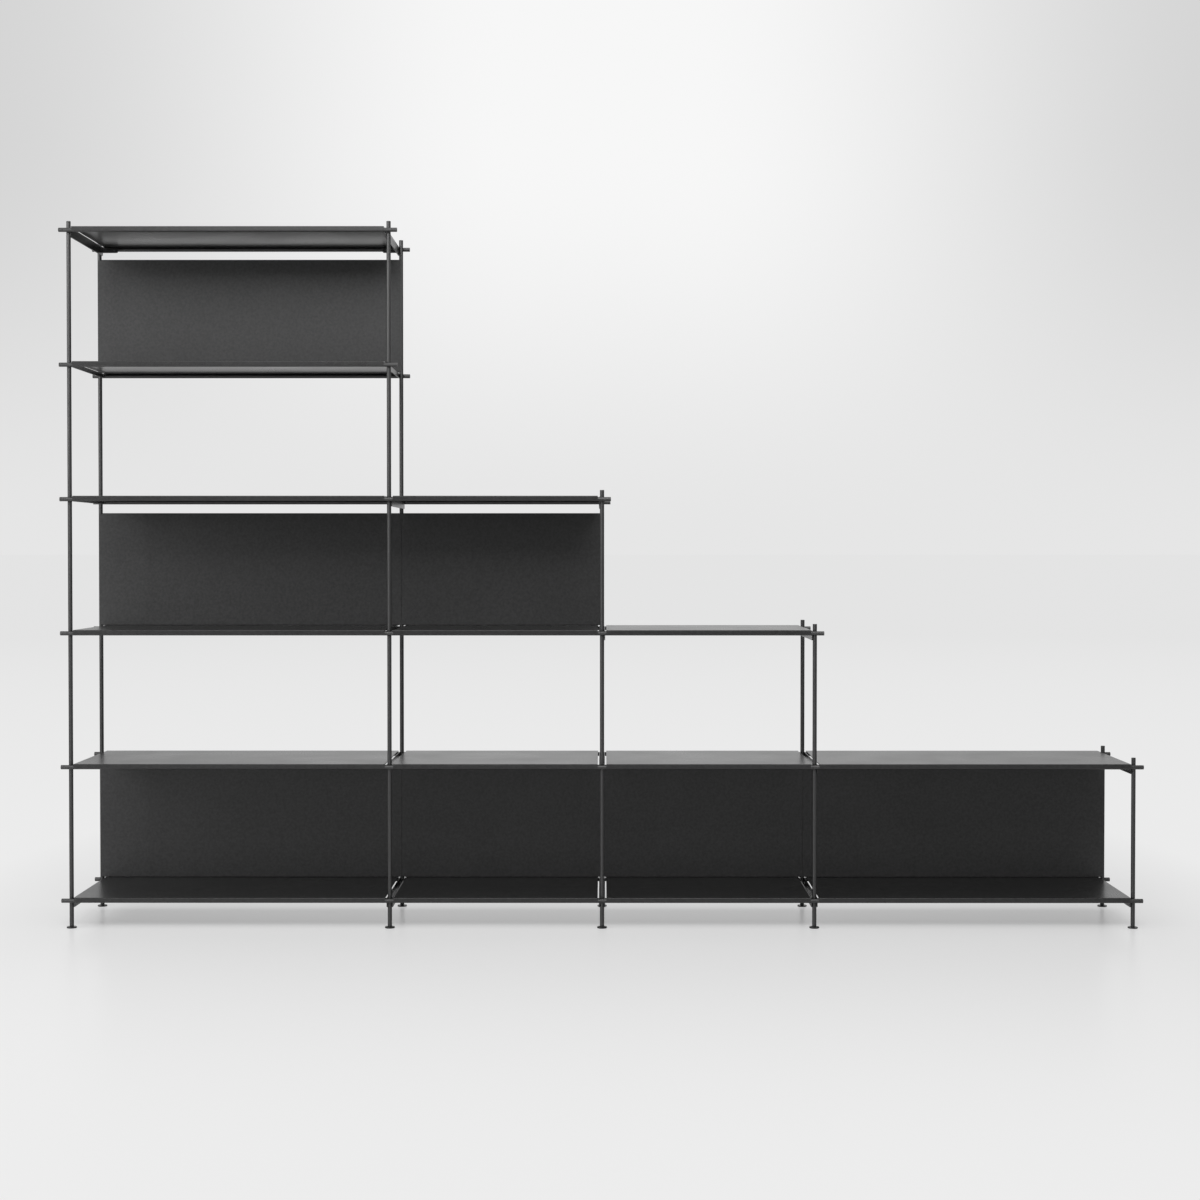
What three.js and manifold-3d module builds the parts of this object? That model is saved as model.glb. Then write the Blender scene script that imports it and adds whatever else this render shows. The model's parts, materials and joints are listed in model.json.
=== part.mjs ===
// Staircase bookshelf in powder-coated steel: round posts, round rails that cross outside them,
// folded shelf trays that hook over the rails, clip-on back panels and levelling feet.
// Millimetres, +Z up, front towards -Y, origin on the floor below the middle of the whole row.

import * as THREE from "three";
import { mergeVertices } from "three/addons/utils/BufferGeometryUtils.js";
import Module from "manifold-3d";

const wasm = await Module();
wasm.setup();

// Bays from left to right: the distance between its post lines, and its highest level.
const WIDE_BAY = 900;
const NARROW_BAY = 600;
const BAYS = [
  { pitch: WIDE_BAY, topLevel: 6 },
  { pitch: NARROW_BAY, topLevel: 4 },
  { pitch: NARROW_BAY, topLevel: 3 },
  { pitch: WIDE_BAY, topLevel: 2 },
];

// Compartments with a back panel, named by the level that they stand on.
const PANELLED = [
  { bay: 1, level: 1 },
  { bay: 1, level: 3 },
  { bay: 1, level: 5 },
  { bay: 2, level: 1 },
  { bay: 2, level: 3 },
  { bay: 3, level: 1 },
  { bay: 4, level: 1 },
];

// Levels are measured to the middle of the rails.
const FIRST_LEVEL_HEIGHT = 79;
const LEVEL_PITCH = 377.5;

// A piece lies this far from what it rests on or fits into.
const SEAT_GAP = 0.3;
// A tool body that cuts or joins runs on by this much.
const OVERRUN = 1;

// Posts: solid round bar, with a threaded bore in the foot end.
const POST_DIAMETER = 12;
const POST_DEPTH_PITCH = 350;
const POST_RISE = 26;
const POST_EDGE = 0.8;
const POST_FOOT_BORE_DEPTH = 36;

// Rails: round bar that lies across the outer side of the posts, each with a dowel at every post.
const RAIL_DIAMETER = 12;
const RAIL_OVERHANG = 25;
const RAIL_EDGE = 0.8;
const DOWEL_DIAMETER = 4;
const DOWEL_BITE = 4.4;

// Levelling feet: a round pad on a threaded stem.
const FOOT_PAD_DIAMETER = 28;
const FOOT_PAD_HEIGHT = 4;
const FOOT_PAD_EDGE = 1;
const FOOT_STEM_DIAMETER = 6;
const FOOT_STEM_LENGTH = 30;

// Shelf trays: folded sheet with a lip in front of each rail and a doubled hem over it.
const TRAY_SHEET = 1.5;
const TRAY_RISE = 9.5;
const TRAY_LIP_HEIGHT = 12;
const TRAY_FOLD = 1.5;
const TRAY_SETBACK = 12.2;
const TRAY_HEM_MARGIN = 9;
const TRAY_END_HEM_WIDTH = 12;

// End plates of a shelf: flat bars beside the posts, with a slit between them and the tray.
const PLATE_THICKNESS = 2.5;
const PLATE_RISE = 7;
const DEEP_PLATE_DROP = 20;
const DEEP_PLATE_CORNER = 6;
const SHALLOW_PLATE_DROP = 6;
const SHALLOW_PLATE_CORNER = 2;
const LUG_DEPTH = 4.2;
const LUG_HEIGHT = 2.6;
const LUG_LAP = 8;
const STUD_DIAMETER = 3.4;
const STUD_BITE = 2.4;
const STUD_DROP = 12;

// Back panels: sheet that stands on the tray in front of the rear posts and clips round them.
const PANEL_SHEET = 1.5;
const PANEL_TOP_DROP = 32.5;
const PANEL_SEAM_GAP = 1.2;
const PANEL_END_REACH = 2.4;
const PANEL_FLANGE_DEPTH = 10;
const PANEL_HOOK_HEIGHT = 16;
const PANEL_HOOK_REACH = 3.4;
const PANEL_HOOK_INSET = 24;
const PANEL_HOOKS = 3;

// Wall brackets: angles in the two rear corners under the highest shelf.
const BRACKET_SHEET = 2.4;
const BRACKET_HEIGHT = 14;
const BRACKET_LENGTH = 46;
const BRACKET_LEG = 16;
const BRACKET_DROP = 11.2;
const BRACKET_CORNER = 5;
const BRACKET_HOLE_DIAMETER = 5;
const BRACKET_HOLE_FROM_END = 10;

// Sides of the faceted round pieces. Flats face along the axes.
const BAR_SIDES = 12;
const PIN_SIDES = 8;
const PAD_SIDES = 16;

const postRadius = POST_DIAMETER / 2;
const railRadius = RAIL_DIAMETER / 2;
const postY = POST_DEPTH_PITCH / 2;
const railY = postY + postRadius + SEAT_GAP + railRadius;
const plateStart = postRadius + SEAT_GAP;
const plateEnd = plateStart + PLATE_THICKNESS;
const plateReach = railY - railRadius - SEAT_GAP;
const hemUnderside = railRadius + SEAT_GAP;
const hemEdge = railY - railRadius - TRAY_HEM_MARGIN;
const trayUnderside = TRAY_RISE - TRAY_SHEET;
const lowestPost = FOOT_PAD_HEIGHT + SEAT_GAP;

const LEFT = -1;
const RIGHT = 1;
const FRONT = -1;
const REAR = 1;

const levelHeight = (level) => FIRST_LEVEL_HEIGHT + (level - 1) * LEVEL_PITCH;

const totalPitch = BAYS.reduce((sum, bay) => sum + bay.pitch, 0);
const postLines = [-totalPitch / 2];
BAYS.forEach((bay) => postLines.push(postLines.at(-1) + bay.pitch));

const bayMiddle = (bay) => (postLines[bay - 1] + postLines[bay]) / 2;

// The highest level that a post line reaches is that of the taller bay beside it.
function lineTopLevel(line) {
  const beside = [BAYS[line - 1], BAYS[line]].filter(Boolean);
  return Math.max(...beside.map((bay) => bay.topLevel));
}

// Materials

function coatedSteel(colour, roughness) {
  return new THREE.MeshStandardMaterial({ color: colour, roughness, metalness: 0.35 });
}

const materials = {
  bar: () => coatedSteel(0x2b2c2d, 0.52),
  tray: () => coatedSteel(0x303132, 0.58),
  panel: () => coatedSteel(0x2e2f30, 0.62),
  bracket: () => coatedSteel(0x242526, 0.55),
  foot: () => new THREE.MeshStandardMaterial({ color: 0x1c1c1d, roughness: 0.6, metalness: 0.1 }),
};

// Solids

// A closed three.js geometry as a solid that can be joined and cut.
function solidOf(geometry) {
  const bare = geometry.clone();
  bare.deleteAttribute("normal");
  bare.deleteAttribute("uv");
  const merged = mergeVertices(bare);
  const corners = merged.index.array;
  const kept = [];
  for (let i = 0; i < corners.length; i += 3) {
    const [a, b, c] = corners.slice(i, i + 3);
    if (a !== b && b !== c && c !== a) kept.push(a, b, c);
  }
  return new wasm.Manifold(
    new wasm.Mesh({
      numProp: 3,
      vertProperties: merged.attributes.position.array,
      triVerts: new Uint32Array(kept),
    }),
  );
}

// A solid back as a geometry with flat-shaded faces.
function geometryOf(solid) {
  const mesh = solid.getMesh();
  const geometry = new THREE.BufferGeometry();
  const positions = new THREE.BufferAttribute(new Float32Array(mesh.vertProperties), mesh.numProp);
  geometry.setAttribute("position", positions);
  geometry.setIndex(new THREE.BufferAttribute(new Uint32Array(mesh.triVerts), 1));
  const flat = geometry.toNonIndexed();
  flat.computeVertexNormals();
  return flat;
}

function joined(solids) {
  return solids.reduce((whole, next) => whole.add(next));
}

// Two places on an axis, the lower one first.
function ordered(a, b) {
  return [Math.min(a, b), Math.max(a, b)];
}

// A block between two corners.
function block(low, high) {
  const size = high.map((value, axis) => value - low[axis]);
  const geometry = new THREE.BoxGeometry(...size);
  geometry.translate(...high.map((value, axis) => (value + low[axis]) / 2));
  return solidOf(geometry);
}

// An outline in Y and Z, given anticlockwise, carried along X from one place to another.
function slab(outline, fromX, toX) {
  const shape = new THREE.Shape(outline.map(([y, z]) => new THREE.Vector2(y, z)));
  const geometry = new THREE.ExtrudeGeometry(shape, { depth: toX - fromX, bevelEnabled: false });
  const turn = new THREE.Matrix4().makeBasis(
    new THREE.Vector3(0, 1, 0),
    new THREE.Vector3(0, 0, 1),
    new THREE.Vector3(1, 0, 0),
  );
  geometry.applyMatrix4(turn);
  geometry.translate(fromX, 0, 0);
  return solidOf(geometry);
}

// A turned piece: pairs of radius across flats and height, from the bottom up, round the Z axis.
function turned(profile, sides) {
  const acrossCorners = 1 / Math.cos(Math.PI / sides);
  const points = profile.map(([radius, height]) => new THREE.Vector2(radius * acrossCorners, height));
  const geometry = new THREE.LatheGeometry(points, sides, Math.PI / sides);
  geometry.rotateX(Math.PI / 2);
  return solidOf(geometry);
}

// A round bar with chamfered ends, standing on the origin.
function bar(radius, length, edge, sides) {
  const profile = [
    [0, 0],
    [radius - edge, 0],
    [radius, edge],
    [radius, length - edge],
    [radius - edge, length],
    [0, length],
  ];
  return turned(profile, sides);
}

// A plain round pin between two heights on the Z axis.
function pin(radius, from, to) {
  return turned([[0, from], [radius, from], [radius, to], [0, to]], PIN_SIDES);
}

// The same pin laid along Y or X through a point, between two places on that axis.
function pinAlongY(radius, from, to, x, z) {
  return pin(radius, -to, -from).rotate([90, 0, 0]).translate([x, 0, z]);
}

function pinAlongX(radius, from, to, y, z) {
  return pin(radius, from, to).rotate([0, 90, 0]).translate([0, y, z]);
}

// Posts, with the foot's bore, a dowel bore at each level and the side bores of the deep plates.
function postSolid(line, side) {
  const top = levelHeight(lineTopLevel(line)) + POST_RISE;
  const cuts = [];
  const foot = FOOT_STEM_DIAMETER / 2 + SEAT_GAP;
  cuts.push(pin(foot, -OVERRUN, POST_FOOT_BORE_DEPTH));
  const boreRadius = DOWEL_DIAMETER / 2 + SEAT_GAP;
  const boreBottom = postRadius - DOWEL_BITE - SEAT_GAP;
  for (let level = 1; level <= lineTopLevel(line); level += 1) {
    const height = levelHeight(level) - lowestPost;
    const ends = ordered(side * boreBottom, side * (postRadius + OVERRUN));
    cuts.push(pinAlongY(boreRadius, ...ends, 0, height));
  }
  [LEFT, RIGHT].forEach((hand) => {
    const bay = hand === LEFT ? line : line + 1;
    if (!BAYS[bay - 1]) return;
    deepLevels(bay).forEach((level) => {
      const height = levelHeight(level) - STUD_DROP - lowestPost;
      const bottom = hand * (postRadius - STUD_BITE - SEAT_GAP);
      const ends = ordered(bottom, hand * (postRadius + OVERRUN));
      cuts.push(pinAlongX(STUD_DIAMETER / 2 + SEAT_GAP, ...ends, 0, height));
    });
  });
  const blank = bar(postRadius, top - lowestPost, POST_EDGE, BAR_SIDES);
  return blank.subtract(joined(cuts));
}

// The bottom shelf and the top shelf of a bay have deep end plates.
function deepLevels(bay) {
  return [1, BAYS[bay - 1].topLevel];
}

// Rails run from the first post line to the last one that reaches their level.
function railLines(level) {
  return postLines.map((x, line) => ({ x, line })).filter(({ line }) => lineTopLevel(line) >= level);
}

function railSolid(level, side) {
  const lines = railLines(level);
  const start = lines[0].x - RAIL_OVERHANG;
  const length = lines.at(-1).x + RAIL_OVERHANG - start;
  const blank = bar(railRadius, length, RAIL_EDGE, BAR_SIDES).rotate([0, 90, 0]);
  const tip = railRadius + SEAT_GAP + DOWEL_BITE;
  const ends = ordered(0, -side * tip);
  const dowels = lines.map(({ x }) => pinAlongY(DOWEL_DIAMETER / 2, ...ends, x - start, 0));
  return joined([blank, ...dowels]);
}

function footSolid() {
  const pad = FOOT_PAD_DIAMETER / 2;
  const stem = FOOT_STEM_DIAMETER / 2;
  const padSolid = bar(pad, FOOT_PAD_HEIGHT, FOOT_PAD_EDGE, PAD_SIDES);
  const stemSolid = pin(stem, FOOT_PAD_HEIGHT - OVERRUN, FOOT_PAD_HEIGHT + FOOT_STEM_LENGTH);
  return padSolid.add(stemSolid);
}

// The tray's section, front to rear, measured from the middle of its rails.
function trayOutline() {
  const lipInside = railY + railRadius + SEAT_GAP;
  const lipOutside = lipInside + TRAY_SHEET;
  const lipFoot = TRAY_RISE - TRAY_LIP_HEIGHT;
  const rearHalf = [
    [hemEdge, trayUnderside],
    [hemEdge, hemUnderside],
    [lipInside, hemUnderside],
    [lipInside, lipFoot],
    [lipOutside, lipFoot],
    [lipOutside, TRAY_RISE - TRAY_FOLD],
    [lipOutside - TRAY_FOLD, TRAY_RISE],
  ];
  const frontHalf = rearHalf.map(([y, z]) => [-y, z]).reverse();
  return [...rearHalf, ...frontHalf];
}

// The hem folded under one end of a tray, between the hems that lie on the rails.
function endHem(trayHalf, hand) {
  const [lowX, highX] = ordered(hand * trayHalf, hand * (trayHalf - TRAY_END_HEM_WIDTH));
  const reach = hemEdge + OVERRUN;
  const low = [lowX, -reach, trayUnderside - TRAY_SHEET];
  const high = [highX, reach, trayUnderside + TRAY_SHEET / 2];
  return block(low, high);
}

// The end plate's outline, with its lower corners cut off.
function plateOutline(drop, corner) {
  return [
    [-plateReach + corner, -drop],
    [plateReach - corner, -drop],
    [plateReach, -drop + corner],
    [plateReach, PLATE_RISE],
    [-plateReach, PLATE_RISE],
    [-plateReach, -drop + corner],
  ];
}

// One end of a shelf: the plate, the lugs that carry it on the tray's hems, and its studs.
function shelfEnd(halfPitch, hand, deep) {
  const drop = deep ? DEEP_PLATE_DROP : SHALLOW_PLATE_DROP;
  const corner = deep ? DEEP_PLATE_CORNER : SHALLOW_PLATE_CORNER;
  const inward = (fromPost) => hand * (halfPitch - fromPost);
  const across = (a, b) => ordered(inward(a), inward(b));
  const pieces = [slab(plateOutline(drop, corner), ...across(plateStart, plateEnd))];
  [FRONT, REAR].forEach((side) => {
    const [lowX, highX] = across(plateEnd - OVERRUN, TRAY_SETBACK + LUG_LAP);
    const [lowY, highY] = ordered(side * (plateReach - LUG_DEPTH), side * plateReach);
    const low = [lowX, lowY, hemUnderside - LUG_HEIGHT];
    const high = [highX, highY, hemUnderside + SEAT_GAP];
    pieces.push(block(low, high));
    if (deep) {
      const stud = across(postRadius - STUD_BITE, plateEnd - OVERRUN);
      pieces.push(pinAlongX(STUD_DIAMETER / 2, ...stud, side * postY, -STUD_DROP));
    }
  });
  return joined(pieces);
}

function shelfSolid(bay, level) {
  const halfPitch = BAYS[bay - 1].pitch / 2;
  const deep = deepLevels(bay).includes(level);
  const trayHalf = halfPitch - TRAY_SETBACK;
  const tray = slab(trayOutline(), -trayHalf, trayHalf);
  const ends = [LEFT, RIGHT].map((hand) => {
    return endHem(trayHalf, hand).add(shelfEnd(halfPitch, hand, deep));
  });
  return joined([tray, ...ends]);
}

// A back panel: its face, a flange along its top and bottom, and a rib along each side with hooks
// that reach behind the post.
function panelSolid(bay) {
  const halfPitch = BAYS[bay - 1].pitch / 2;
  const faceRear = postY - postRadius - SEAT_GAP;
  const faceFront = faceRear - PANEL_SHEET;
  const hookFront = postY + postRadius + SEAT_GAP;
  const hookRear = hookFront + PANEL_SHEET;
  const bottom = TRAY_RISE + SEAT_GAP;
  const top = LEVEL_PITCH - PANEL_TOP_DROP;
  const reach = (hand) => {
    const outer = hand === LEFT ? bay === 1 : bay === BAYS.length;
    return hand * (outer ? halfPitch + PANEL_END_REACH : halfPitch - PANEL_SEAM_GAP / 2);
  };
  const pieces = [block([reach(LEFT), faceFront, bottom], [reach(RIGHT), faceRear, top])];
  const flangeEnd = halfPitch - plateStart;
  const flangeRear = faceRear + PANEL_FLANGE_DEPTH;
  [bottom, top - PANEL_SHEET].forEach((foot) => {
    const high = [flangeEnd, flangeRear, foot + PANEL_SHEET];
    pieces.push(block([-flangeEnd, faceFront, foot], high));
  });
  [LEFT, RIGHT].forEach((hand) => {
    const across = (a, b) => ordered(hand * (halfPitch - a), hand * (halfPitch - b));
    const [ribLow, ribHigh] = across(plateStart, plateStart + PANEL_SHEET);
    pieces.push(block([ribLow, faceFront, bottom], [ribHigh, hookRear, top]));
    const [hookLow, hookHigh] = across(plateStart - PANEL_HOOK_REACH, plateStart + PANEL_SHEET);
    const lowest = bottom + PANEL_HOOK_INSET;
    const free = top - PANEL_HOOK_INSET - PANEL_HOOK_HEIGHT - lowest;
    for (let hook = 0; hook < PANEL_HOOKS; hook += 1) {
      const foot = lowest + (free * hook) / (PANEL_HOOKS - 1);
      pieces.push(block([hookLow, hookFront, foot], [hookHigh, hookRear, foot + PANEL_HOOK_HEIGHT]));
    }
  });
  return joined(pieces);
}

// A wall bracket, seen from the bay's left end: one leg along the end plate, one along the rail.
function bracketSolid(hand) {
  const rear = plateReach - LUG_DEPTH - SEAT_GAP;
  const start = plateEnd + SEAT_GAP;
  const top = BRACKET_HEIGHT - BRACKET_DROP;
  const along = [
    [start, top],
    [start, -BRACKET_DROP],
    [start + BRACKET_LENGTH - BRACKET_CORNER, -BRACKET_DROP],
    [start + BRACKET_LENGTH, -BRACKET_DROP + BRACKET_CORNER],
    [start + BRACKET_LENGTH, top],
  ];
  const shape = new THREE.Shape(along.map(([x, z]) => new THREE.Vector2(x, z)));
  const geometry = new THREE.ExtrudeGeometry(shape, { depth: BRACKET_SHEET, bevelEnabled: false });
  geometry.rotateX(Math.PI / 2);
  geometry.translate(0, rear, 0);
  const leg = block(
    [start, rear - BRACKET_LEG, -BRACKET_DROP],
    [start + BRACKET_SHEET, rear - BRACKET_SHEET / 2, top],
  );
  const holeX = start + BRACKET_LENGTH - BRACKET_HOLE_FROM_END;
  const holeZ = top - BRACKET_HEIGHT / 2;
  const ends = [rear - BRACKET_SHEET - OVERRUN, rear + OVERRUN];
  const hole = pinAlongY(BRACKET_HOLE_DIAMETER / 2, ...ends, holeX, holeZ);
  const solid = solidOf(geometry).add(leg).subtract(hole);
  return hand === LEFT ? solid : solid.mirror([1, 0, 0]);
}

// The whole shelf

const bookshelf = new THREE.Group();
bookshelf.name = "staircase_bookshelf";

function place(parent, name, solid, material, x, y, z) {
  const mesh = new THREE.Mesh(geometryOf(solid), material);
  mesh.name = name;
  mesh.position.set(x, y, z);
  parent.add(mesh);
}

const sides = [
  { word: "front", side: FRONT },
  { word: "rear", side: REAR },
];

postLines.forEach((x, line) => {
  const upright = new THREE.Group();
  upright.position.x = x;
  sides.forEach(({ word, side }) => {
    const y = side * postY;
    place(upright, `post_${line + 1}_${word}`, postSolid(line, side), materials.bar(), 0, y, lowestPost);
    place(upright, `foot_${line + 1}_${word}`, footSolid(), materials.foot(), 0, y, 0);
  });
  bookshelf.add(upright);
});

const highestLevel = Math.max(...BAYS.map((bay) => bay.topLevel));
for (let level = 1; level <= highestLevel; level += 1) {
  const storey = new THREE.Group();
  storey.position.z = levelHeight(level);
  const railStart = railLines(level)[0].x - RAIL_OVERHANG;
  sides.forEach(({ word, side }) => {
    const name = `rail_level_${level}_${word}`;
    place(storey, name, railSolid(level, side), materials.bar(), railStart, side * railY, 0);
  });
  BAYS.forEach(({ topLevel }, index) => {
    const bay = index + 1;
    if (topLevel < level) return;
    const name = `shelf_bay_${bay}_level_${level}`;
    place(storey, name, shelfSolid(bay, level), materials.tray(), bayMiddle(bay), 0, 0);
  });
  PANELLED.filter((space) => space.level === level).forEach(({ bay }) => {
    const name = `back_panel_bay_${bay}_level_${level}`;
    place(storey, name, panelSolid(bay), materials.panel(), bayMiddle(bay), 0, 0);
  });
  bookshelf.add(storey);
}

const crown = new THREE.Group();
crown.position.z = levelHeight(BAYS[0].topLevel);
place(crown, "wall_bracket_left", bracketSolid(LEFT), materials.bracket(), postLines[0], 0, 0);
place(crown, "wall_bracket_right", bracketSolid(RIGHT), materials.bracket(), postLines[1], 0, 0);
bookshelf.add(crown);

export default bookshelf;
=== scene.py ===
"""Dresses the staircase bookshelf: round bar, folded trays, end bars, back panels, brackets and
feet in a fine-textured charcoal powder coat, in a pale studio."""

import json
from math import pi, radians

import bmesh
import bpy
from mathutils import Matrix, Vector

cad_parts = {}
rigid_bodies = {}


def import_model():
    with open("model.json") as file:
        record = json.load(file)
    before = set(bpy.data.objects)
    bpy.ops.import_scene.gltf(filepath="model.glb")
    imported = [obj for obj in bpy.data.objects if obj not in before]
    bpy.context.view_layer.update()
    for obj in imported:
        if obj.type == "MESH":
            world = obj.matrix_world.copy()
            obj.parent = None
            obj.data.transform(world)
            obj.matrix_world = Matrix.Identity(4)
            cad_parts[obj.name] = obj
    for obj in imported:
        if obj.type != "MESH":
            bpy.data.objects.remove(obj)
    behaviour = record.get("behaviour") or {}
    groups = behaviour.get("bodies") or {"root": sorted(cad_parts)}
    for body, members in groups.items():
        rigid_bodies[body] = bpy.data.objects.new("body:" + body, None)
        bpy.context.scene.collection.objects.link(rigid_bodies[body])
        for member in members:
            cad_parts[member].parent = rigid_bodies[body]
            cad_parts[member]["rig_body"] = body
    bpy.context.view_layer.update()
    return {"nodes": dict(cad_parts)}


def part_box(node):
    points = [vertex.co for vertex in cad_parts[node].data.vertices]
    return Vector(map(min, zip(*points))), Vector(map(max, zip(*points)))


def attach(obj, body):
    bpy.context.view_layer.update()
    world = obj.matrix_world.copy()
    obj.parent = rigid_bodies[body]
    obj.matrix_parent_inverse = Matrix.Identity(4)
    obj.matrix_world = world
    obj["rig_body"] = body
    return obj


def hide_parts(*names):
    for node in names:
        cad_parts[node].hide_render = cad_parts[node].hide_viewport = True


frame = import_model()


MM = 0.001

LEFT = -1
RIGHT = 1
FRONT = -1
REAR = 1

POST_LINES = 5
BOTTOM_LEVEL = 1

# Edges

SHARP_ANGLE = radians(40)
FLAT_ANGLE = radians(1)
ROUND_PROFILE = 0.5
EDGE_STEPS = 2
CORNER_STEPS = 6
BAR_SEGMENTS = 40
PAD_SEGMENTS = 64
SEAT_GAP = 0.3 * MM

# Bars

BAR_EDGE = 0.7 * MM
DOWEL_RADIUS = 2 * MM
DOWEL_SHARE = 0.6

# Feet

PAD_EDGE = 1.0 * MM
STEM_RADIUS = 2.55 * MM
THREAD_RADIUS = 3.0 * MM
THREAD_PITCH = 1.0 * MM
THREAD_WIDTH_SHARE = 0.9
THREAD_SINK_SHARE = 0.125
THREAD_STEPS = 16
BORE_RADIUS = 3.3 * MM
BORE_DEPTH = 36 * MM

# Trays

TRAY_SHEET = 1.5 * MM
TRAY_RISE = 9.5 * MM
TRAY_LIP_HEIGHT = 12 * MM
TRAY_SETBACK = 12.2 * MM
TRAY_FOLD_RADIUS = 2.6 * MM
TRAY_HEM_MARGIN = 9 * MM
TRAY_END_HEM_WIDTH = 12 * MM
SHEET_EDGE = 0.35 * MM
HEM_RADIUS = 0.7 * MM

# End bars of the shelves

PLATE_THICKNESS = 2.5 * MM
PLATE_RISE = 7 * MM
PLATE_EDGE = 0.4 * MM
DEEP_DROP = 20 * MM
DEEP_CORNER = 6 * MM
SHALLOW_DROP = 6 * MM
SHALLOW_CORNER = 2 * MM
LUG_DEPTH = 4.2 * MM
LUG_HEIGHT = 2.6 * MM
LUG_LAP = 8 * MM
STUD_RADIUS = 1.7 * MM
STUD_DROP = 12 * MM

# Back panels

PANEL_SHEET = 1.5 * MM
PANEL_FOLD_RADIUS = 2.2 * MM
PANEL_FLANGE_DEPTH = 10 * MM
HOOK_HEIGHT = 16 * MM
HOOK_REACH = 3.4 * MM
HOOK_INSET = 24 * MM
HOOKS = 3

# Wall brackets

BRACKET_SHEET = 2.4 * MM
BRACKET_CORNER = 5 * MM
BRACKET_HOLE_RADIUS = 2.5 * MM
BRACKET_HOLE_FROM_END = 10 * MM
HOLE_SEGMENTS = 32

# Camera, from the lines of the posts and rails

PICTURE_SIDE = 1200
FOCAL_PIXELS = 2016.0
PRINCIPAL_ROW = 588.96
SENSOR_WIDTH = 36.0
CAMERA_X = 3.4 * MM
CAMERA_Y = -5857.6 * MM
CAMERA_Z = 1063 * MM
CAMERA_TILT = 0.01834
CAMERA_TURN = 0.00162


def nodes_named(start):
    return sorted(node for node in frame["nodes"] if node.startswith(start))


def middle(node):
    low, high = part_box(node)
    return (low + high) / 2


def bay_and_level(node):
    """The two numbers in a name such as shelf_bay_1_level_6."""
    words = node.split("_")
    return int(words[-3]), int(words[-1])


post_low, post_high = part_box("post_1_rear")
post_radius = (post_high.x - post_low.x) / 2
post_y = (post_low.y + post_high.y) / 2
rail_low, rail_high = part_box("rail_level_1_rear")
rail_radius = (rail_high.z - rail_low.z) / 2
rail_y = rail_high.y - rail_radius
post_lines = [middle(f"post_{line}_rear").x for line in range(1, POST_LINES + 1)]
top_levels = {}
for shelf in nodes_named("shelf_bay_"):
    bay, level = bay_and_level(shelf)
    top_levels[bay] = max(level, top_levels.get(bay, level))


def rail_height(level):
    return middle(f"rail_level_{level}_rear").z


plate_start = post_radius + SEAT_GAP
plate_end = plate_start + PLATE_THICKNESS
plate_reach = rail_y - rail_radius - SEAT_GAP
hem_underside = rail_radius + SEAT_GAP
hem_edge = rail_y - rail_radius - TRAY_HEM_MARGIN
tray_underside = TRAY_RISE - TRAY_SHEET

# Powder coat


def add_node(tree, kind, **values):
    """A node. A value names one of its sockets, or else one of its settings."""
    node = tree.nodes.new(kind)
    for name, value in values.items():
        words = name.replace("_", " ")
        if words in node.inputs:
            node.inputs[words].default_value = value
        else:
            setattr(node, name, value)
    return node


def grain(tree, scale, detail, roughness):
    """A noise on the piece's own coordinates."""
    place = add_node(tree, "ShaderNodeTexCoord")
    noise = add_node(tree, "ShaderNodeTexNoise", Scale=scale, Detail=detail, Roughness=roughness)
    tree.links.new(place.outputs["Object"], noise.inputs["Vector"])
    return noise.outputs["Fac"]


def spread(tree, value, start, end, low, high):
    """The value, taken from start to end, as a number from low to high."""
    span = add_node(
        tree,
        "ShaderNodeMapRange",
        From_Min=start,
        From_Max=end,
        To_Min=low,
        To_Max=high,
    )
    tree.links.new(value, span.inputs["Value"])
    return span.outputs["Result"]


def maths(tree, operation, *values):
    """An operation on one or two numbers."""
    node = add_node(tree, "ShaderNodeMath", operation=operation)
    for number, value in enumerate(values):
        tree.links.new(value, node.inputs[number])
    return node.outputs["Value"]


# Pebbles are the fine texture, mottle the patches of a few millimetres, clouds the broad ones.
PEBBLE_SCALE = 620
PEBBLE_DETAIL = 3
PEBBLE_BREAKUP = 0.55
PEBBLE_DEPTH = 0.15 * MM
MOTTLE_SCALE = 130
MOTTLE_DETAIL = 4
MOTTLE_BREAKUP = 0.6
CLOUD_SCALE = 7
CLOUD_DETAIL = 3
CLOUD_BREAKUP = 0.5

# The span of each noise that changes the look, and by how much it does.
MOTTLE_START = 0.35
MOTTLE_END = 0.65
# The tips of the pebbles are painted paler: a painted highlight on the relief.
TIP_START = 0.6
TIP_END = 0.75
DULL_START = 0.3
DULL_END = 0.7
CLOUD_DULLING = 0.025
PEBBLE_DULLING = 0.04
COAT_TINT = (1, 1, 1.01)
MOTTLE_DARK_SHARE = 0.76
MOTTLE_PALE_SHARE = 1.2
TIP_HIGHLIGHT_SHARE = 2.2
TIP_COVER_SHARE = 0.5


def shade(grey, share):
    """A share of a coat's grey, with the coat's tint."""
    return (*[grey * share * tint for tint in COAT_TINT], 1)


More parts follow.
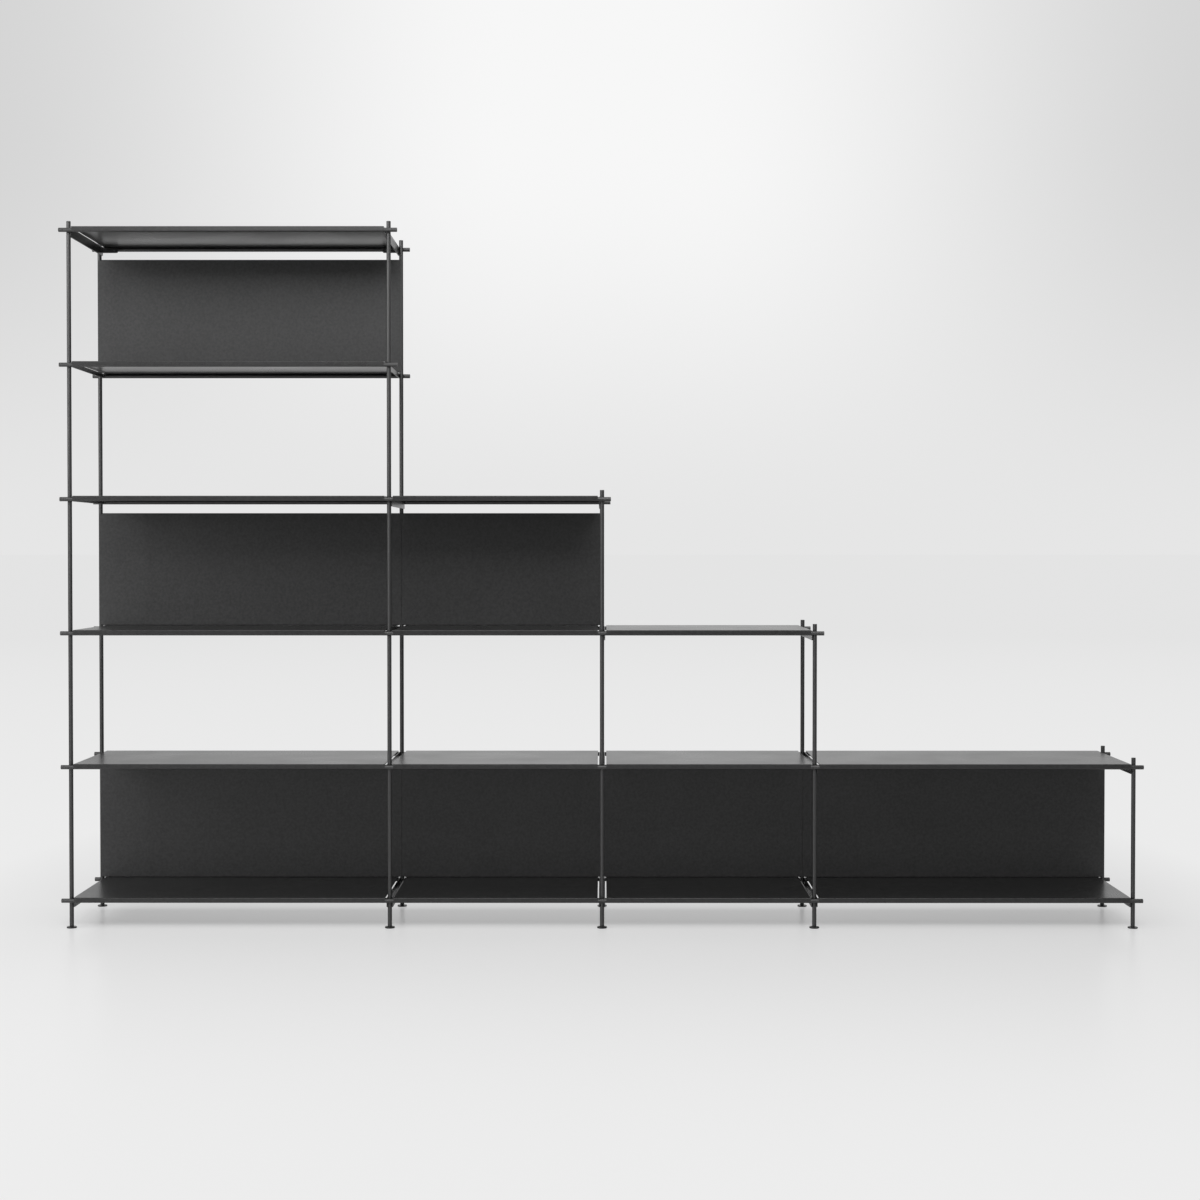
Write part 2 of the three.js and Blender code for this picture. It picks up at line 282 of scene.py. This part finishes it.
def powder_coat(name, grey, roughness, sheen, relief):
    """Fine-textured powder coat: pebbled at one to two millimetres, faintly mottled over larger
    patches, with a painted highlight: paler colour on the tips of the pebbles."""
    material = bpy.data.materials.new(name)
    material.use_nodes = True
    tree = material.node_tree
    shader = tree.nodes["Principled BSDF"]
    pebbles = grain(tree, PEBBLE_SCALE, PEBBLE_DETAIL, PEBBLE_BREAKUP)
    mottle = grain(tree, MOTTLE_SCALE, MOTTLE_DETAIL, MOTTLE_BREAKUP)
    clouds = grain(tree, CLOUD_SCALE, CLOUD_DETAIL, CLOUD_BREAKUP)
    mottle_share = spread(tree, mottle, MOTTLE_START, MOTTLE_END, 0, 1)
    shades = add_node(tree, "ShaderNodeMix", data_type="RGBA")
    shades.inputs["A"].default_value = shade(grey, MOTTLE_DARK_SHARE)
    shades.inputs["B"].default_value = shade(grey, MOTTLE_PALE_SHARE)
    tree.links.new(mottle_share, shades.inputs["Factor"])
    # Painted highlight: the pebbles' tips are made paler than the rest of the coat.
    tip_highlight_share = spread(tree, pebbles, TIP_START, TIP_END, 0, TIP_COVER_SHARE)
    highlighted = add_node(tree, "ShaderNodeMix", data_type="RGBA")
    highlighted.inputs["B"].default_value = shade(grey, TIP_HIGHLIGHT_SHARE)
    tree.links.new(tip_highlight_share, highlighted.inputs["Factor"])
    tree.links.new(shades.outputs["Result"], highlighted.inputs["A"])
    tree.links.new(highlighted.outputs["Result"], shader.inputs["Base Color"])
    smoothest = roughness - CLOUD_DULLING
    dullest = roughness + CLOUD_DULLING
    broad = spread(tree, clouds, DULL_START, DULL_END, smoothest, dullest)
    fine = spread(tree, pebbles, DULL_START, DULL_END, -PEBBLE_DULLING, PEBBLE_DULLING)
    tree.links.new(maths(tree, "ADD", broad, fine), shader.inputs["Roughness"])
    bump = add_node(tree, "ShaderNodeBump", Strength=relief, Distance=PEBBLE_DEPTH)
    tree.links.new(pebbles, bump.inputs["Height"])
    tree.links.new(bump.outputs["Normal"], shader.inputs["Normal"])
    shader.inputs["Specular IOR Level"].default_value = sheen
    return material


coats = {
    "bar_coating": powder_coat(
        "powder_coat_on_bar", grey=0.012, roughness=0.42, sheen=1.0, relief=0.12
    ),
    "tray_coating": powder_coat(
        "powder_coat_on_trays", grey=0.025, roughness=0.3, sheen=0.5, relief=0.12
    ),
    "panel_coating": powder_coat(
        "powder_coat_on_panels", grey=0.035, roughness=0.38, sheen=0.5, relief=0.16
    ),
    "bracket_coating": powder_coat(
        "powder_coat_on_brackets", grey=0.02, roughness=0.32, sheen=0.6, relief=0.12
    ),
    "foot_coating": powder_coat(
        "powder_coat_on_feet", grey=0.016, roughness=0.34, sheen=0.6, relief=0.12
    ),
}

# Shapes


def finished(name, bm, slot, node):
    """A piece from its mesh, in place of its node, on that node's body."""
    mesh = bpy.data.meshes.new(name)
    bmesh.ops.recalc_face_normals(bm, faces=bm.faces)
    bm.to_mesh(mesh)
    bm.free()
    mesh.materials.append(coats[slot])
    mesh.shade_smooth()
    mesh.set_sharp_from_angle(angle=SHARP_ANGLE)
    piece = bpy.data.objects.new(name, mesh)
    bpy.context.scene.collection.objects.link(piece)
    evened = piece.modifiers.new("even_flats", "WEIGHTED_NORMAL")
    evened.keep_sharp = True
    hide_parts(node)
    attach(piece, frame["nodes"][node]["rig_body"])


def bevelled(bm, geom, width, steps, affect="EDGES"):
    bmesh.ops.bevel(
        bm,
        geom=geom,
        offset=width,
        offset_type="OFFSET",
        segments=steps,
        profile=ROUND_PROFILE,
        affect=affect,
        clamp_overlap=True,
        material=-1,
    )


def of_kind(result, kind):
    return [item for item in result["geom"] if isinstance(item, kind)]


def box_between(bm, low, high):
    """A block between two corners. It returns its edges."""
    low = Vector(low)
    high = Vector(high)
    verts = bmesh.ops.create_cube(bm, size=1)["verts"]
    bmesh.ops.scale(bm, vec=high - low, verts=verts)
    bmesh.ops.translate(bm, vec=(low + high) / 2, verts=verts)
    return list({e for v in verts for e in v.link_edges})


def round_bar(bm, radius, low, high, edge, segments):
    """A round bar along Z between two heights, with softened rims."""
    verts = bmesh.ops.create_cone(
        bm,
        cap_ends=True,
        segments=segments,
        radius1=radius,
        radius2=radius,
        depth=high - low,
        matrix=Matrix.Translation((0, 0, (low + high) / 2)),
    )["verts"]
    edges = {e for v in verts for e in v.link_edges}
    rims = [e for e in edges if abs(e.verts[0].co.z - e.verts[1].co.z) < edge]
    bevelled(bm, rims, edge, EDGE_STEPS)


def pin(bm, radius, start, end):
    """A plain round pin between two points."""
    start = Vector(start)
    end = Vector(end)
    along = end - start
    turn = along.to_track_quat("Z", "Y").to_matrix().to_4x4()
    bmesh.ops.create_cone(
        bm,
        cap_ends=True,
        segments=HOLE_SEGMENTS,
        radius1=radius,
        radius2=radius,
        depth=along.length,
        matrix=Matrix.Translation((start + end) / 2) @ turn,
    )


def rounded_face(bm, outline, roundings):
    """A face from an outline of points. Some corners, by number, are rounded to a radius."""
    before = set(bm.faces)
    verts = [bm.verts.new(point) for point in outline]
    bm.faces.new(verts)
    for radius in sorted(set(roundings.values())):
        corners = [verts[index] for index, own in roundings.items() if own == radius]
        bevelled(bm, corners, radius, CORNER_STEPS, affect="VERTICES")
    return next(f for f in bm.faces if f not in before)


def carried(bm, face, step):
    """A flat face carried along a step as a closed body. It returns the edges of both ends."""
    first = list(face.edges)
    grown = bmesh.ops.extrude_face_region(bm, geom=[face])
    bmesh.ops.translate(bm, vec=step, verts=of_kind(grown, bmesh.types.BMVert))
    far = of_kind(grown, bmesh.types.BMFace)[0]
    return first + list(far.edges)


def in_section(points):
    """Points of Y and Z as places in the plane X = 0."""
    return [Vector((0, y, z)) for y, z in points]


# Posts, rails and feet


def post_piece(node):
    low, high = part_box(node)
    bm = bmesh.new()
    round_bar(bm, post_radius, low.z, high.z, BAR_EDGE, BAR_SEGMENTS)
    foot_end = min(bm.faces, key=lambda f: f.calc_center_median().z)
    rim = post_radius - BAR_EDGE - BORE_RADIUS
    bmesh.ops.inset_region(bm, faces=[foot_end], thickness=rim, use_even_offset=True)
    bore = bmesh.ops.extrude_face_region(bm, geom=[foot_end])
    bmesh.ops.translate(bm, vec=(0, 0, BORE_DEPTH), verts=of_kind(bore, bmesh.types.BMVert))
    bmesh.ops.delete(bm, geom=[foot_end], context="FACES_ONLY")
    centre = (low + high) / 2
    bmesh.ops.translate(bm, vec=(centre.x, centre.y, 0), verts=bm.verts)
    finished(f"{node}_bar", bm, "bar_coating", node)


def rail_piece(node):
    low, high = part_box(node)
    centre = (low + high) / 2
    side = FRONT if centre.y < 0 else REAR
    bm = bmesh.new()
    round_bar(bm, rail_radius, low.x, high.x, BAR_EDGE, BAR_SEGMENTS)
    turn = Matrix.Rotation(pi / 2, 3, "Y")
    bmesh.ops.rotate(bm, cent=(0, 0, 0), matrix=turn, verts=bm.verts)
    for line in post_lines:
        if low.x < line < high.x:
            tip = -side * (rail_radius + SEAT_GAP + DOWEL_RADIUS * DOWEL_SHARE)
            pin(bm, DOWEL_RADIUS, (line, 0, 0), (line, tip, 0))
    bmesh.ops.translate(bm, vec=(0, side * rail_y, centre.z), verts=bm.verts)
    finished(f"{node}_bar", bm, "bar_coating", node)


def thread(bm, low, high):
    """A ridge that winds up a stem, closed at both ends."""
    turns = int((high - low) / THREAD_PITCH) - 1
    half = THREAD_PITCH * THREAD_WIDTH_SHARE / 2
    root = STEM_RADIUS - THREAD_PITCH * THREAD_SINK_SHARE
    section = [
        bm.verts.new((root, 0, low)),
        bm.verts.new((THREAD_RADIUS, 0, low + half)),
        bm.verts.new((root, 0, low + 2 * half)),
    ]
    face = bm.faces.new(section)
    bmesh.ops.spin(
        bm,
        geom=[face],
        cent=(0, 0, 0),
        axis=(0, 0, 1),
        dvec=(0, 0, THREAD_PITCH / THREAD_STEPS),
        angle=2 * pi * turns,
        steps=THREAD_STEPS * turns,
        use_merge=False,
        use_normal_flip=False,
        use_duplicate=False,
    )


def foot_piece(node):
    low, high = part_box(node)
    pad_top = post_low.z - SEAT_GAP
    bm = bmesh.new()
    round_bar(bm, (high.x - low.x) / 2, low.z, pad_top, PAD_EDGE, PAD_SEGMENTS)
    round_bar(bm, STEM_RADIUS, pad_top - PAD_EDGE, high.z, BAR_EDGE, BAR_SEGMENTS)
    thread(bm, pad_top + SEAT_GAP, high.z - THREAD_PITCH)
    centre = (low + high) / 2
    bmesh.ops.translate(bm, vec=(centre.x, centre.y, 0), verts=bm.verts)
    finished(f"{node}_pad", bm, "foot_coating", node)


# Shelves


def tray(bm, half):
    """A tray between its ends: a folded sheet with a lip over each rail and a hem inside the lip."""
    lip_inside = rail_y + rail_radius + SEAT_GAP
    lip_outside = lip_inside + TRAY_SHEET
    lip_foot = TRAY_RISE - TRAY_LIP_HEIGHT
    rear_half = [
        (hem_edge, tray_underside),
        (hem_edge, hem_underside),
        (lip_inside, hem_underside),
        (lip_inside, lip_foot),
        (lip_outside, lip_foot),
        (lip_outside, TRAY_RISE),
    ]
    own_roundings = {1: HEM_RADIUS, 3: SHEET_EDGE, 4: SHEET_EDGE, 5: TRAY_FOLD_RADIUS}
    front_half = [(-y, z) for y, z in reversed(rear_half)]
    outline = in_section(rear_half + front_half)
    last = len(outline) - 1
    roundings = {**own_roundings, **{last - index: own for index, own in own_roundings.items()}}
    face = rounded_face(bm, outline, roundings)
    bmesh.ops.translate(bm, vec=(-half, 0, 0), verts=face.verts)
    carried(bm, face, (2 * half, 0, 0))
    for hand in (LEFT, RIGHT):
        near = hand * half
        far = hand * (half - TRAY_END_HEM_WIDTH)
        low = (min(near, far), -hem_edge, tray_underside - TRAY_SHEET)
        high = (max(near, far), hem_edge, tray_underside)
        box_between(bm, low, high)


def end_bar(bm, half_pitch, hand, deep):
    """One end of a shelf: a flat bar beside the posts, with the lugs that carry it and its studs."""
    drop = DEEP_DROP if deep else SHALLOW_DROP
    corner = DEEP_CORNER if deep else SHALLOW_CORNER
    outline = in_section([
        (-plate_reach, -drop),
        (plate_reach, -drop),
        (plate_reach, PLATE_RISE),
        (-plate_reach, PLATE_RISE),
    ])
    face = rounded_face(bm, outline, {0: corner, 1: corner})
    outer = hand * (half_pitch - plate_start)
    inner = hand * (half_pitch - plate_end)
    bmesh.ops.translate(bm, vec=(outer, 0, 0), verts=face.verts)
    bevelled(bm, carried(bm, face, (inner - outer, 0, 0)), PLATE_EDGE, EDGE_STEPS)
    for side in (FRONT, REAR):
        reach = hand * (half_pitch - TRAY_SETBACK - LUG_LAP)
        near = side * plate_reach
        far = side * (plate_reach - LUG_DEPTH)
        low = (min(inner, reach), min(near, far), hem_underside - LUG_HEIGHT)
        high = (max(inner, reach), max(near, far), hem_underside)
        box_between(bm, low, high)
        if deep:
            start = (inner, side * post_y, -STUD_DROP)
            end = (hand * (half_pitch - post_radius), side * post_y, -STUD_DROP)
            pin(bm, STUD_RADIUS, start, end)


def shelf_piece(node):
    bay, level = bay_and_level(node)
    half_pitch = (post_lines[bay] - post_lines[bay - 1]) / 2
    place = (post_lines[bay - 1] + half_pitch, 0, rail_height(level))
    deep = level in (BOTTOM_LEVEL, top_levels[bay])
    parts = {
        "tray": lambda bm: tray(bm, half_pitch - TRAY_SETBACK),
        "left_bar": lambda bm: end_bar(bm, half_pitch, LEFT, deep),
        "right_bar": lambda bm: end_bar(bm, half_pitch, RIGHT, deep),
    }
    for word, build in parts.items():
        bm = bmesh.new()
        build(bm)
        bmesh.ops.translate(bm, vec=place, verts=bm.verts)
        finished(f"{node}_{word}", bm, "tray_coating", node)


# Back panels


def panel_rib(bm, hand, half_pitch, front, bottom, top):
    """A strip behind one side of a panel, with hooks that reach behind the post."""
    hook_front = post_y + post_radius + SEAT_GAP
    hook_rear = hook_front + PANEL_SHEET
    outer = hand * (half_pitch - plate_start)
    inner = hand * (half_pitch - plate_start - PANEL_SHEET)
    low = Vector((min(outer, inner), front, bottom))
    high = Vector((max(outer, inner), hook_rear, top))
    box_between(bm, low, high)
    lowest = bottom + HOOK_INSET
    free = top - HOOK_INSET - HOOK_HEIGHT - lowest
    feet = [lowest + free * hook / (HOOKS - 1) for hook in range(HOOKS)]
    cuts = [(Vector((0, hook_front, 0)), Vector((0, 1, 0)))]
    for foot in feet:
        cuts.append((Vector((0, 0, foot)), Vector((0, 0, 1))))
        cuts.append((Vector((0, 0, foot + HOOK_HEIGHT)), Vector((0, 0, 1))))
    for point, normal in cuts:
        whole = [*bm.verts, *bm.edges, *bm.faces]
        bmesh.ops.bisect_plane(bm, geom=whole, plane_co=point, plane_no=normal)
    for foot in feet:
        patch = [f for f in bm.faces if is_hook_patch(f, outer, hook_front, foot)]
        grown = bmesh.ops.extrude_face_region(bm, geom=patch)
        step = (hand * HOOK_REACH, 0, 0)
        bmesh.ops.translate(bm, vec=step, verts=of_kind(grown, bmesh.types.BMVert))
        bmesh.ops.delete(bm, geom=patch, context="FACES_ONLY")


def is_hook_patch(face, outer, hook_front, foot):
    """Whether a face of the rib is where a hook starts."""
    centre = face.calc_center_median()
    on_side = abs(centre.x - outer) < SEAT_GAP / 2
    behind_post = centre.y > hook_front
    return on_side and behind_post and foot < centre.z < foot + HOOK_HEIGHT


def panel_piece(node):
    bay, _ = bay_and_level(node)
    low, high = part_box(node)
    half_pitch = (post_lines[bay] - post_lines[bay - 1]) / 2
    centre = Vector((post_lines[bay - 1] + half_pitch, 0, 0))
    face_front = low.y
    face_rear = low.y + PANEL_SHEET
    flange_end = half_pitch - plate_start
    flange_rear = face_rear + PANEL_FLANGE_DEPTH
    section = [
        (face_front, low.z),
        (flange_rear, low.z),
        (flange_rear, low.z + PANEL_SHEET),
        (face_rear, low.z + PANEL_SHEET),
        (face_rear, high.z - PANEL_SHEET),
        (flange_rear, high.z - PANEL_SHEET),
        (flange_rear, high.z),
        (face_front, high.z),
    ]
    inner_radius = PANEL_FOLD_RADIUS - PANEL_SHEET
    roundings = {
        0: PANEL_FOLD_RADIUS,
        1: SHEET_EDGE,
        2: SHEET_EDGE,
        3: inner_radius,
        4: inner_radius,
        5: SHEET_EDGE,
        6: SHEET_EDGE,
        7: PANEL_FOLD_RADIUS,
    }
    bm = bmesh.new()
    face = rounded_face(bm, in_section(section), roundings)
    bmesh.ops.translate(bm, vec=(centre.x - flange_end, 0, 0), verts=face.verts)
    carried(bm, face, (2 * flange_end, 0, 0))
    tab_low = low.z + PANEL_FOLD_RADIUS
    tab_high = high.z - PANEL_FOLD_RADIUS
    tabs = [(low.x, centre.x - flange_end), (centre.x + flange_end, high.x)]
    for start, end in tabs:
        box_between(bm, (start, face_front, tab_low), (end, face_rear, tab_high))
    finished(f"{node}_face", bm, "panel_coating", node)
    for word, hand in (("left", LEFT), ("right", RIGHT)):
        bm = bmesh.new()
        panel_rib(bm, hand, half_pitch, face_rear, low.z + PANEL_SHEET, high.z - PANEL_SHEET)
        bmesh.ops.translate(bm, vec=centre, verts=bm.verts)
        finished(f"{node}_{word}_clip", bm, "panel_coating", node)


# Wall brackets


def bracket_piece(node):
    low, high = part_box(node)
    hand = LEFT if node.endswith("left") else RIGHT
    inner, outer = (low.x, high.x) if hand == LEFT else (high.x, low.x)
    toward = -hand
    bm = bmesh.new()
    outline = [
        Vector((inner, high.y, high.z)),
        Vector((inner, high.y, low.z)),
        Vector((outer, high.y, low.z)),
        Vector((outer, high.y, high.z)),
    ]
    rounded_face(bm, outline, {2: BRACKET_CORNER})
    bmesh.ops.delete(bm, geom=list(bm.faces), context="FACES_ONLY")
    centre = Vector((outer - toward * BRACKET_HOLE_FROM_END, high.y, (low.z + high.z) / 2))
    place = Matrix.Translation(centre) @ Matrix.Rotation(pi / 2, 4, "X")
    bmesh.ops.create_circle(bm, segments=HOLE_SEGMENTS, radius=BRACKET_HOLE_RADIUS, matrix=place)
    filled = bmesh.ops.triangle_fill(bm, edges=list(bm.edges), use_beauty=True)
    faces = of_kind(filled, bmesh.types.BMFace)
    grown = bmesh.ops.extrude_face_region(bm, geom=faces)
    step = (0, -BRACKET_SHEET, 0)
    bmesh.ops.translate(bm, vec=step, verts=of_kind(grown, bmesh.types.BMVert))
    leg_end = inner + toward * BRACKET_SHEET
    leg_low = (min(inner, leg_end), low.y, low.z)
    leg_high = (max(inner, leg_end), high.y - BRACKET_SHEET, high.z)
    box_between(bm, leg_low, leg_high)
    bmesh.ops.dissolve_limit(bm, angle_limit=FLAT_ANGLE, verts=bm.verts, edges=bm.edges)
    finished(f"{node}_angle", bm, "bracket_coating", node)


for nodes, build in (
    ("post_", post_piece),
    ("rail_", rail_piece),
    ("foot_", foot_piece),
    ("shelf_bay_", shelf_piece),
    ("back_panel_", panel_piece),
    ("wall_bracket_", bracket_piece),
):
    for node in nodes_named(nodes):
        build(node)

# Studio

FLOOR_SIZE = 1600
FLOOR_GREY = 0.8
FLOOR_GLOW_GREY = 0.85
FLOOR_ROUGHNESS = 0.28
FLOOR_FAR = 2.4
FLOOR_HORIZON = 20
FOOTPRINT_HALF = (1.5, 0.1, 0)
FOOTPRINT_EDGE = 0.06
BESIDE_STRETCH = (4, 1, 1)
# Less glow under the shelf's footprint lets its rendered shadow read darker there: painted shade.
UNDER_GLOW_SHARE = 0.37
NEAR_GLOW_SHARE = 0.54
FAR_GLOW_SHARE = 0.95
ROOM_GREY = 0.3
HORIZON_GREY = 0.79
GLOW_GREY = 0.93
SIDE_GREY = 0.66
GLOW_START = 0.04
GLOW_END = 0.32
GLOW_RISE = 0.2
MIRROR_START = 0.4
MIRROR_END = 0.85


def plain_grey(value):
    """A grey as a colour with its alpha."""
    return (value, value, value, 1)


def camera():
    data = bpy.data.cameras.new("camera")
    data.sensor_fit = "HORIZONTAL"
    data.sensor_width = SENSOR_WIDTH
    data.lens = FOCAL_PIXELS / PICTURE_SIDE * SENSOR_WIDTH
    data.shift_y = (PRINCIPAL_ROW - PICTURE_SIDE / 2) / PICTURE_SIDE
    data.clip_end = FLOOR_SIZE
    view = bpy.data.objects.new("camera", data)
    view.location = (CAMERA_X, CAMERA_Y, CAMERA_Z)
    view.rotation_euler = (pi / 2 - CAMERA_TILT, 0, CAMERA_TURN)
    bpy.context.scene.collection.objects.link(view)
    bpy.context.scene.camera = view


def angle_around(tree, direction):
    """The angle of a direction to the room's back, to the left as to the right."""
    split = add_node(tree, "ShaderNodeSeparateXYZ")
    tree.links.new(direction, split.inputs["Vector"])
    return maths(tree, "ABSOLUTE", maths(tree, "ARCTAN2", split.outputs["X"], split.outputs["Y"]))


def seen_rays(tree, direction):
    """1 for rays from the camera, and from a mirror or through glass to the room's back,
    0 for the rest."""
    path = add_node(tree, "ShaderNodeLightPath")
    back = spread(tree, angle_around(tree, direction), MIRROR_START, MIRROR_END, 1, 0)
    glossy = path.outputs["Is Glossy Ray"]
    through = path.outputs["Is Transmission Ray"]
    kept = maths(tree, "MULTIPLY", maths(tree, "MAXIMUM", glossy, through), back)
    return maths(tree, "MAXIMUM", kept, path.outputs["Is Camera Ray"])


def changed(tree, operation, vector, amount=None):
    """A vector after an operation, with a fixed second vector where that takes one."""
    node = add_node(tree, "ShaderNodeVectorMath", operation=operation)
    tree.links.new(vector, node.inputs[0])
    if amount is not None:
        node.inputs[1].default_value = amount
    return node.outputs["Vector"]


def length(tree, vector):
    """The length of a vector."""
    node = add_node(tree, "ShaderNodeVectorMath", operation="LENGTH")
    tree.links.new(vector, node.inputs[0])
    return node.outputs["Value"]


def floor():
    bm = bmesh.new()
    bmesh.ops.create_grid(bm, x_segments=1, y_segments=1, size=FLOOR_SIZE / 2)
    mesh = bpy.data.meshes.new("floor")
    bm.to_mesh(mesh)
    bm.free()
    plane = bpy.data.objects.new("floor", mesh)
    bpy.context.scene.collection.objects.link(plane)
    material = bpy.data.materials.new("pale_floor")
    material.use_nodes = True
    tree = material.node_tree
    shader = tree.nodes["Principled BSDF"]
    shader.inputs["Base Color"].default_value = plain_grey(FLOOR_GREY)
    shader.inputs["Roughness"].default_value = FLOOR_ROUGHNESS
    glow = add_node(tree, "ShaderNodeEmission")
    place = add_node(tree, "ShaderNodeTexCoord")
    from_middle = changed(tree, "ABSOLUTE", place.outputs["Object"])
    past_edge = changed(tree, "SUBTRACT", from_middle, FOOTPRINT_HALF)
    outside = changed(tree, "MAXIMUM", past_edge, (0, 0, 0))
    away = length(tree, outside)
    beside = length(tree, changed(tree, "MULTIPLY", outside, BESIDE_STRETCH))
    glow_span = (NEAR_GLOW_SHARE, FAR_GLOW_SHARE)
    open_share = spread(tree, beside, FOOTPRINT_EDGE, FLOOR_FAR, *glow_span)
    # Painted shade: the glow share falls under the shelf's footprint, deepening the rendered shadow
    # there.
    darkest_painted_shade = UNDER_GLOW_SHARE / NEAR_GLOW_SHARE
    painted_shade_under_shelf = spread(tree, away, 0, FOOTPRINT_EDGE, darkest_painted_shade, 1)
    glow_share = maths(tree, "MULTIPLY", open_share, painted_shade_under_shelf)
    far_grey = spread(tree, away, FLOOR_FAR, FLOOR_HORIZON, FLOOR_GLOW_GREY, HORIZON_GREY)
    tree.links.new(far_grey, glow.inputs["Color"])
    seen = seen_rays(tree, place.outputs["Object"])
    mix = add_node(tree, "ShaderNodeMixShader")
    tree.links.new(maths(tree, "MULTIPLY", seen, glow_share), mix.inputs["Fac"])
    tree.links.new(shader.outputs["BSDF"], mix.inputs[1])
    tree.links.new(glow.outputs["Emission"], mix.inputs[2])
    tree.links.new(mix.outputs["Shader"], tree.nodes["Material Output"].inputs["Surface"])
    mesh.materials.append(material)


def backdrop_colour(tree):
    """A pale grey that glows behind the upper middle of the shelf, by the direction in the room."""
    place = add_node(tree, "ShaderNodeTexCoord")
    split = add_node(tree, "ShaderNodeSeparateXYZ")
    tree.links.new(place.outputs["Generated"], split.inputs["Vector"])
    aside = angle_around(tree, place.outputs["Generated"])
    upper = spread(tree, aside, GLOW_START, GLOW_END, GLOW_GREY, SIDE_GREY)
    upper.node.interpolation_type = "SMOOTHSTEP"
    rise = spread(tree, split.outputs["Z"], 0, GLOW_RISE, 0, 1)
    rise.node.interpolation_type = "SMOOTHSTEP"
    mix = add_node(tree, "ShaderNodeMix", data_type="FLOAT")
    mix.inputs["A"].default_value = HORIZON_GREY
    tree.links.new(upper, mix.inputs["B"])
    tree.links.new(rise, mix.inputs["Factor"])
    return mix.outputs["Result"]


def room():
    world = bpy.data.worlds.new("room")
    world.use_nodes = True
    tree = world.node_tree
    background = tree.nodes["Background"]
    background.inputs["Color"].default_value = plain_grey(ROOM_GREY)
    backdrop = add_node(tree, "ShaderNodeBackground")
    place = add_node(tree, "ShaderNodeTexCoord")
    tree.links.new(backdrop_colour(tree), backdrop.inputs["Color"])
    mix = add_node(tree, "ShaderNodeMixShader")
    tree.links.new(seen_rays(tree, place.outputs["Generated"]), mix.inputs["Fac"])
    tree.links.new(background.outputs["Background"], mix.inputs[1])
    tree.links.new(backdrop.outputs["Background"], mix.inputs[2])
    tree.links.new(mix.outputs["Shader"], tree.nodes["World Output"].inputs["Surface"])
    bpy.context.scene.world = world


def area_lamp(name, place, aim, size, watts):
    data = bpy.data.lights.new(name, "AREA")
    data.shape = "RECTANGLE"
    data.size, data.size_y = size
    data.energy = watts
    lamp = bpy.data.objects.new(name, data)
    lamp.location = place
    lamp.rotation_euler = (Vector(aim) - Vector(place)).to_track_quat("-Z", "Y").to_euler()
    bpy.context.scene.collection.objects.link(lamp)


LAMPS = {
    "front_top": {
        "place": (-0.2, -3.6, 3.3),
        "aim": (0.1, 0, 1.2),
        "size": (4, 1.6),
        "watts": 80,
    },
    "left_front": {
        "place": (-3.6, -4.2, 1.3),
        "aim": (-0.3, 0, 1),
        "size": (1, 2.4),
        "watts": 20,
    },
    "left_high": {
        "place": (-3.9, -1.95, 2.55),
        "aim": (-1.2, 0, 0.8),
        "size": (2.2, 2.2),
        "watts": 62,
    },
    "overhead": {
        "place": (0, -0.4, 5.4),
        "aim": (0, 0, 0),
        "size": (5, 3),
        "watts": 70,
    },
}

camera()
floor()
room()
for lamp_name, lamp_values in LAMPS.items():
    area_lamp(lamp_name, **lamp_values)

bpy.context.scene.view_settings.view_transform = "Standard"
